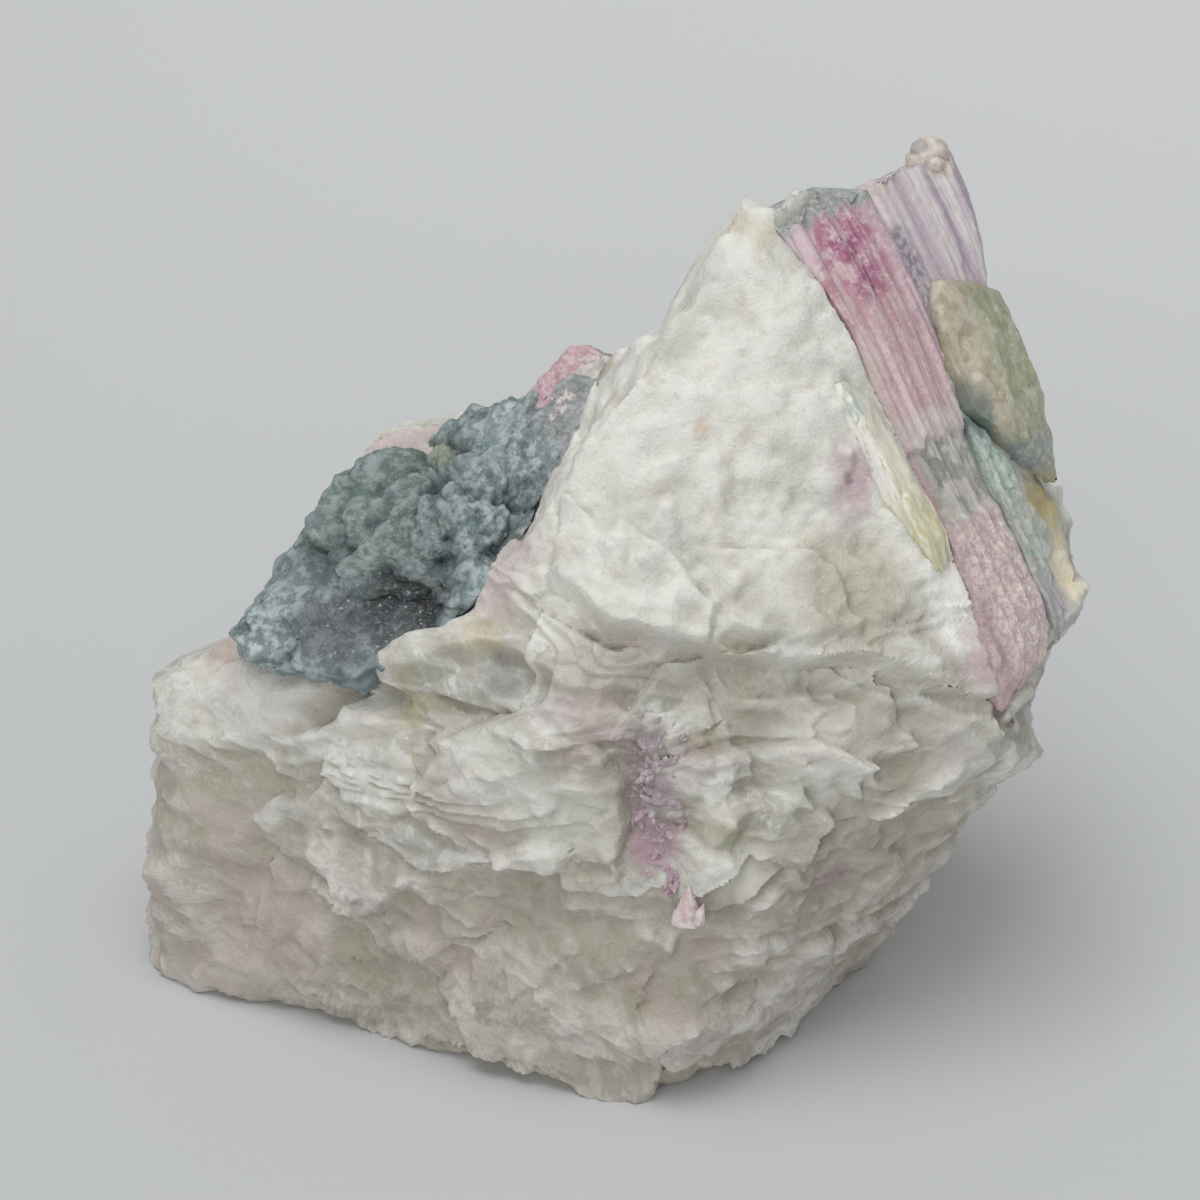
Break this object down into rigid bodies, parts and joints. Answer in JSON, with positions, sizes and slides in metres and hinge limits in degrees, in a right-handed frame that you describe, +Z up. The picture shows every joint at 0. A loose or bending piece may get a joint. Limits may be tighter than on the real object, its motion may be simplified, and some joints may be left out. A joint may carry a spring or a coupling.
{
  "type": "mineral specimen",
  "caption": "Watermelon tourmaline hand specimen: pink, lilac, green and dark blue-green crystals in a loose piece of white rock that rests on its flat underside",
  "frame": {"origin": "middle of the overall outline, on the surface that the specimen rests on", "axes": "+Z up from the flat underside; +X to the right along the longest side, towards the crystal bed; +Y to the back, so that the front looks along +Y"},
  "size_m": [0.1159, 0.07, 0.0988],
  "materials": {
    "white_rock": "matte",
    "rose_tourmaline": "satin",
    "lilac_tourmaline": "satin",
    "green_tourmaline": "satin",
    "teal_tourmaline": "satin",
    "yellow_crystal": "gloss",
    "dark_tourmaline": "satin",
    "deep_rose_tourmaline": "satin",
    "mauve_tourmaline": "satin",
    "pale_pink_tourmaline": "satin"
  },
  "bodies": {
    "root": {"matrix": "white_rock", "long_pink_crystal": "rose_tourmaline", "lilac_crystal": "lilac_tourmaline", "green_rind": "green_tourmaline", "teal_crystal": "teal_tourmaline", "yellow_blade": "yellow_crystal", "dark_green_crystal": "dark_tourmaline", "rose_crystal": "deep_rose_tourmaline", "mauve_crystals": "mauve_tourmaline", "pale_pink_crystal": "pale_pink_tourmaline"}
  },
  "joints": []
}
